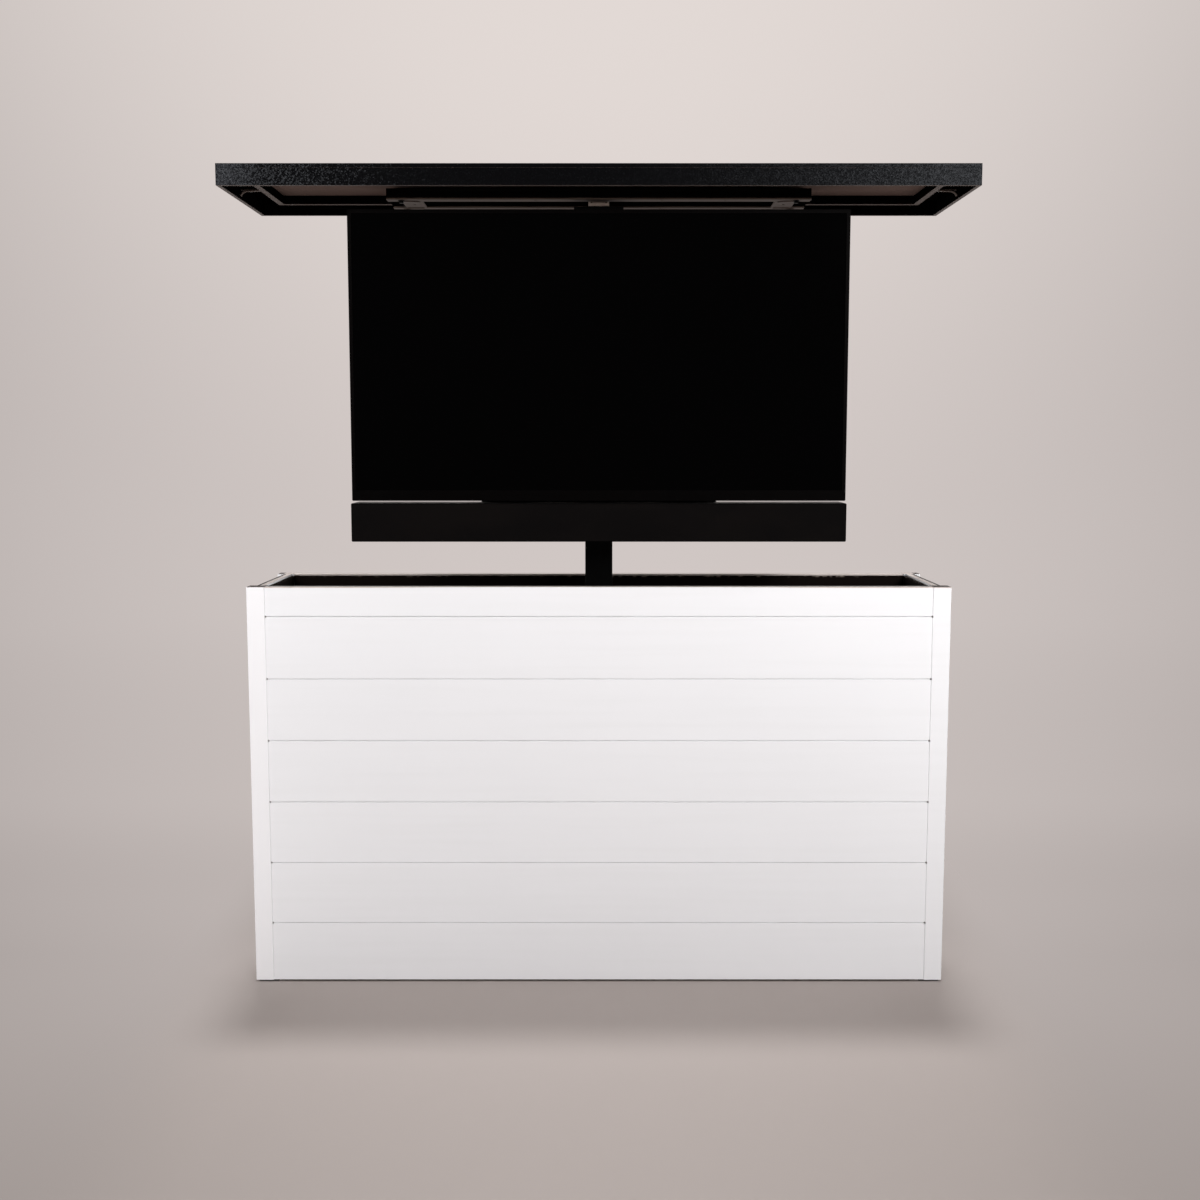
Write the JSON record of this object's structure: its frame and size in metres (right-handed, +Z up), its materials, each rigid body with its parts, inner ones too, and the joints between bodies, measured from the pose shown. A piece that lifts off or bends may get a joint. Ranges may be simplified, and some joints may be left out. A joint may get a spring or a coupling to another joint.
{
  "type": "tv lift cabinet",
  "caption": "Low planked cabinet whose telescoping column raises a television, a soundbar and the whole lid together.",
  "frame": {"origin": "on the floor under the middle of the cabinet", "axes": "+X to the right as seen from the front, -Y towards the viewer, +Z up; the part is stored raised"},
  "size_m": [1.778, 0.46, 1.979],
  "materials": {
    "white_paint": "white satin paint on boards",
    "dark_liner": "dark speckled lining board",
    "lid_coating": "black stippled coating",
    "seal_foam": "brownish grey seal strip",
    "black_steel": "black powder coat",
    "black_aluminium": "black coated aluminium arms",
    "black_bearer": "black painted timber bearer",
    "black_plastic": "black moulded plastic",
    "zinc_steel": "dull zinc plate",
    "screw_steel": "bright rolled thread",
    "glide_nylon": "black nylon",
    "screen_glass": "glossy near-black screen",
    "speaker_cloth": "dark speaker cloth",
    "foot_rubber": "dark foot pads"
  },
  "bodies": {
    "cabinet": {"corner_post_front_left": "white_paint", "corner_post_front_right": "white_paint", "corner_post_back_left": "white_paint", "corner_post_back_right": "white_paint", "front_plank_1": "white_paint", "front_plank_2": "white_paint", "front_plank_3": "white_paint", "front_plank_4": "white_paint", "front_plank_5": "white_paint", "front_bottom_plank": "white_paint", "front_top_rail": "white_paint", "front_batten": "white_paint", "left_side_panel": "white_paint", "right_side_panel": "white_paint", "back_bottom_rail": "white_paint", "back_access_panel": "white_paint", "back_top_rail": "white_paint", "front_liner": "dark_liner", "back_liner": "dark_liner", "left_liner": "dark_liner", "right_liner": "dark_liner", "floor_panel": "dark_liner", "foot_front_left": "foot_rubber", "foot_front_right": "foot_rubber", "foot_back_left": "foot_rubber", "foot_back_right": "foot_rubber", "lift_base_plate": "black_steel", "lift_gearbox": "black_plastic", "lift_motor": "black_steel", "control_box": "black_plastic", "outer_column": "black_steel", "lower_glide": "glide_nylon", "column_brace": "black_steel"},
    "drive_screw_spindle": {"drive_screw": "screw_steel"},
    "middle_stage": {"middle_column": "black_steel", "upper_glide": "glide_nylon", "drive_nut": "glide_nylon"},
    "carriage": {"inner_column": "black_steel", "head_block": "zinc_steel", "tv_hanger": "black_steel", "tv_mount_plate": "black_steel", "tv_arm_left": "black_aluminium", "tv_arm_right": "black_aluminium", "tv_bezel": "black_plastic", "tv_screen": "screen_glass", "tv_rear_cover": "black_plastic", "soundbar_body": "black_plastic", "soundbar_grille": "speaker_cloth", "soundbar_bracket": "black_steel", "lid_top": "lid_coating", "lid_front_skirt": "lid_coating", "lid_back_skirt": "lid_coating", "lid_left_skirt": "lid_coating", "lid_right_skirt": "lid_coating", "lid_seal_frame": "seal_foam", "lid_beam": "black_bearer", "support_rail_front": "zinc_steel", "support_rail_back": "zinc_steel", "rail_clamp_left": "zinc_steel", "rail_clamp_right": "zinc_steel"}
  },
  "joints": [
    {"name": "lift_lower", "type": "slide", "parent": "cabinet", "child": "middle_stage", "axis": [0, 0, 1], "range_m": [-0.479, 0]},
    {"name": "lift_upper", "type": "slide", "parent": "middle_stage", "child": "carriage", "axis": [0, 0, 1], "range_m": [-0.479, 0]},
    {"name": "screw_turn", "type": "hinge", "parent": "cabinet", "child": "drive_screw_spindle", "pos_m": [0, 0.023, 0.3], "axis": [0, 0, 1], "range_deg": [-17274, 30]}
  ],
  "couplings": [
    {"joint": "lift_upper", "follows": "lift_lower", "ratio": 1},
    {"joint": "screw_turn", "follows": "lift_lower", "rad_per_m": 628.32}
  ]
}
